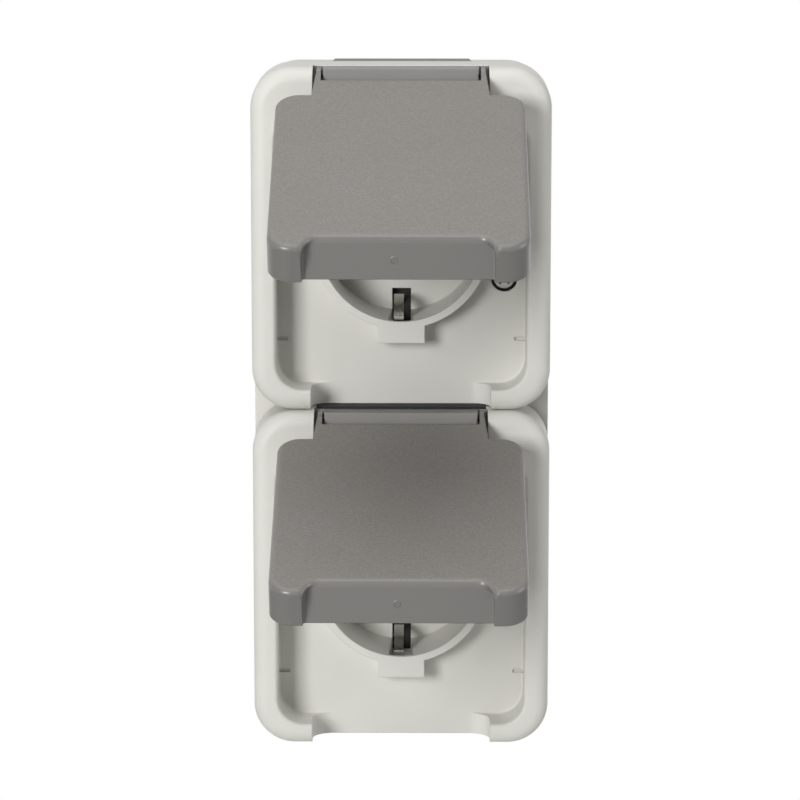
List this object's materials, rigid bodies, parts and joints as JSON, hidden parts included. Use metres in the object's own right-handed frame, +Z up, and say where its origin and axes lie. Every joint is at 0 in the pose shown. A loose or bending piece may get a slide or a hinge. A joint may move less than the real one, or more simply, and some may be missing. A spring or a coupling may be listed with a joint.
{
  "type": "earthed socket outlet",
  "caption": "Surface-mounted weather-protected socket outlet pair, one above the other, each with a round earthed recess and a hinged lid standing open.",
  "frame": {"origin": "centre of the back face, on the wall", "axes": "+X to the right seen from the front, +Y into the wall, +Z up"},
  "size_m": [0.072, 0.1206, 0.1662],
  "materials": {
    "light_housing": "satin light grey",
    "dark_lid": "fine grain dark grey",
    "dark_bar": "smooth satin dark grey",
    "dark_entry": "smooth dark grey",
    "hinge_steel": "drawn, blackened",
    "zinc_steel": "zinc plated",
    "seal_rubber": "matt",
    "carrier_plastic": "matt black",
    "contact_brass": "rolled",
    "earth_metal": "nickel plated"
  },
  "bodies": {
    "housing": {"base": "light_housing", "cable_entry": "dark_entry", "upper_cover": "light_housing", "upper_hinge_bar": "dark_bar", "upper_hinge_pin": "hinge_steel", "upper_cover_seal": "seal_rubber", "upper_cover_screws": "zinc_steel", "upper_contact_carrier": "carrier_plastic", "upper_live_contact": "contact_brass", "upper_neutral_contact": "contact_brass", "upper_earth_yoke": "earth_metal", "upper_terminal_screws": "zinc_steel", "upper_carrier_screws": "zinc_steel", "lower_cover": "light_housing", "lower_hinge_bar": "dark_bar", "lower_hinge_pin": "hinge_steel", "lower_cover_seal": "seal_rubber", "lower_cover_screws": "zinc_steel", "lower_contact_carrier": "carrier_plastic", "lower_live_contact": "contact_brass", "lower_neutral_contact": "contact_brass", "lower_earth_yoke": "earth_metal", "lower_terminal_screws": "zinc_steel", "lower_carrier_screws": "zinc_steel"},
    "upper_lid": {"upper_lid": "dark_lid", "upper_lid_seal": "seal_rubber"},
    "lower_lid": {"lower_lid": "dark_lid", "lower_lid_seal": "seal_rubber"}
  },
  "joints": [
    {"name": "upper_lid_hinge", "type": "hinge", "parent": "housing", "child": "upper_lid", "pos_m": [0, -0.0506, 0.0812], "axis": [-1, 0, 0], "range_deg": [-63.7, 31.3]},
    {"name": "lower_lid_hinge", "type": "hinge", "parent": "housing", "child": "lower_lid", "pos_m": [0, -0.0506, -0.002], "axis": [-1, 0, 0], "range_deg": [-68.4, 26.6]}
  ]
}
